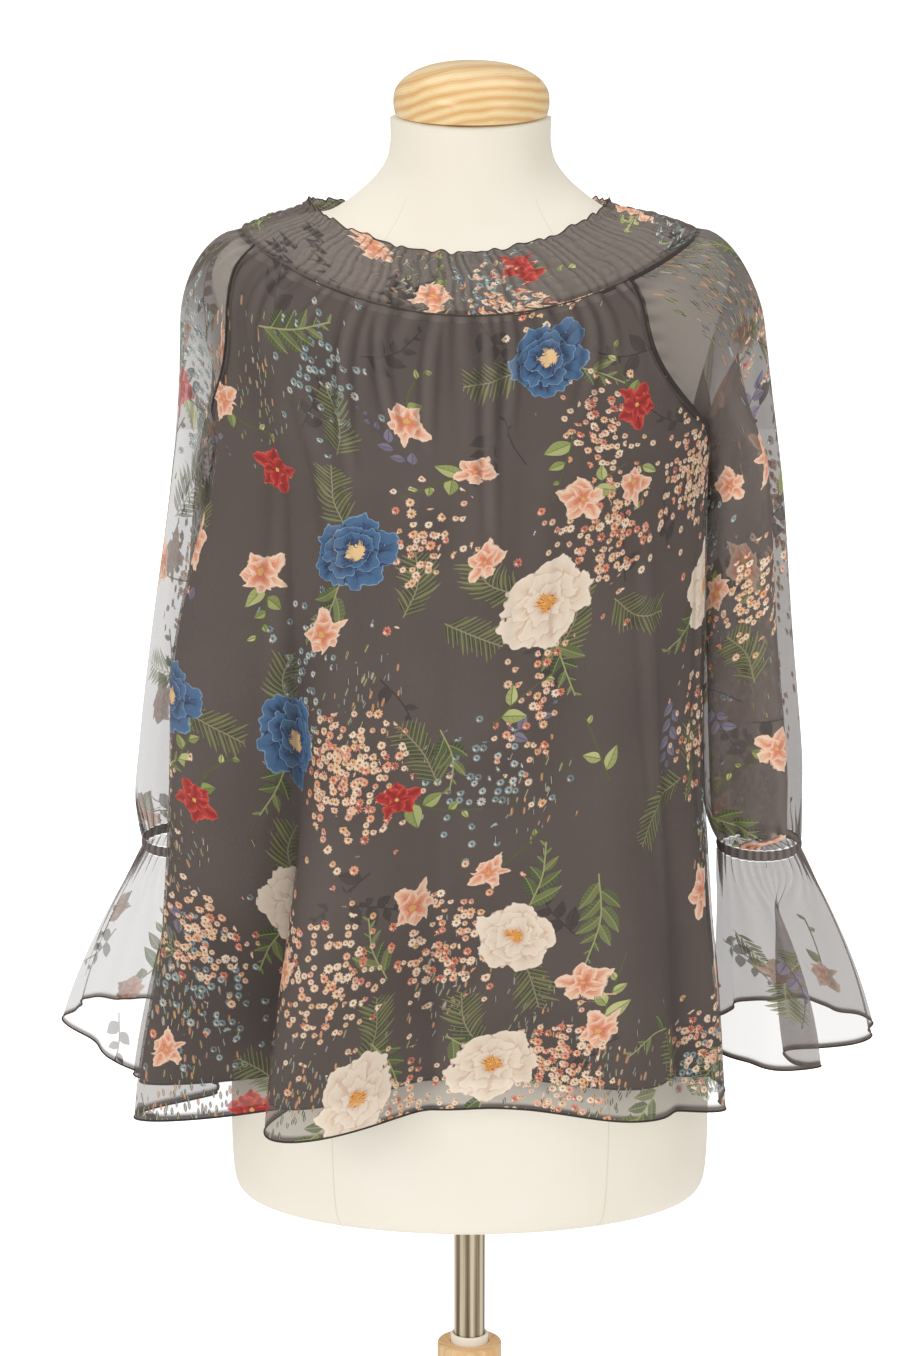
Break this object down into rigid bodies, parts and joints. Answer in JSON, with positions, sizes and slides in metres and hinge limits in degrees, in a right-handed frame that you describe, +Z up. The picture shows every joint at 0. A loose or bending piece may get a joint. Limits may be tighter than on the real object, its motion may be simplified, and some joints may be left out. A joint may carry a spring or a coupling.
{
  "type": "blouse on a limbless dress form",
  "caption": "Sheer floral raglan blouse with a gathered elastic yoke, bell flounce sleeves, an inner lining and a dipped hem, shown on a padded torso form on a pole and tripod",
  "frame": {"origin": "centre of the outline on the floor, under the feet", "axes": "+Z up, -Y to the front of the garment, +X to the wearer's left"},
  "size_m": [0.5731, 0.4878, 1.5069],
  "materials": {
    "chiffon": "sheer printed crepe chiffon",
    "lining": "plain matt lining",
    "jersey": "cream knitted cover",
    "cap_wood": "satin lacquer",
    "stand_wood": "satin lacquer",
    "steel": "satin tube",
    "plastic": "satin",
    "rubber": "matt"
  },
  "bodies": {
    "tripod": {"hub": "stand_wood", "leg_1": "stand_wood", "leg_2": "stand_wood", "leg_3": "stand_wood", "foot_1": "rubber", "foot_2": "rubber", "foot_3": "rubber"},
    "bush": {"bushing": "plastic"},
    "mast": {"pole": "steel", "torso": "jersey", "neck_cap": "cap_wood", "yoke": "chiffon", "body_front": "chiffon", "body_back": "chiffon", "sleeve_left": "chiffon", "sleeve_right": "chiffon", "wrist_casing_left": "chiffon", "wrist_casing_right": "chiffon", "flounce_left": "chiffon", "flounce_right": "chiffon", "lining_front": "lining", "lining_back": "lining"}
  },
  "joints": [
    {"name": "swivel", "type": "hinge", "parent": "tripod", "child": "bush", "pos_m": [0, 0, 0.6], "axis": [0, 0, 1], "continuous": true},
    {"name": "height", "type": "slide", "parent": "bush", "child": "mast", "axis": [0, 0, 1], "range_m": [-0.08, 0.25]}
  ]
}
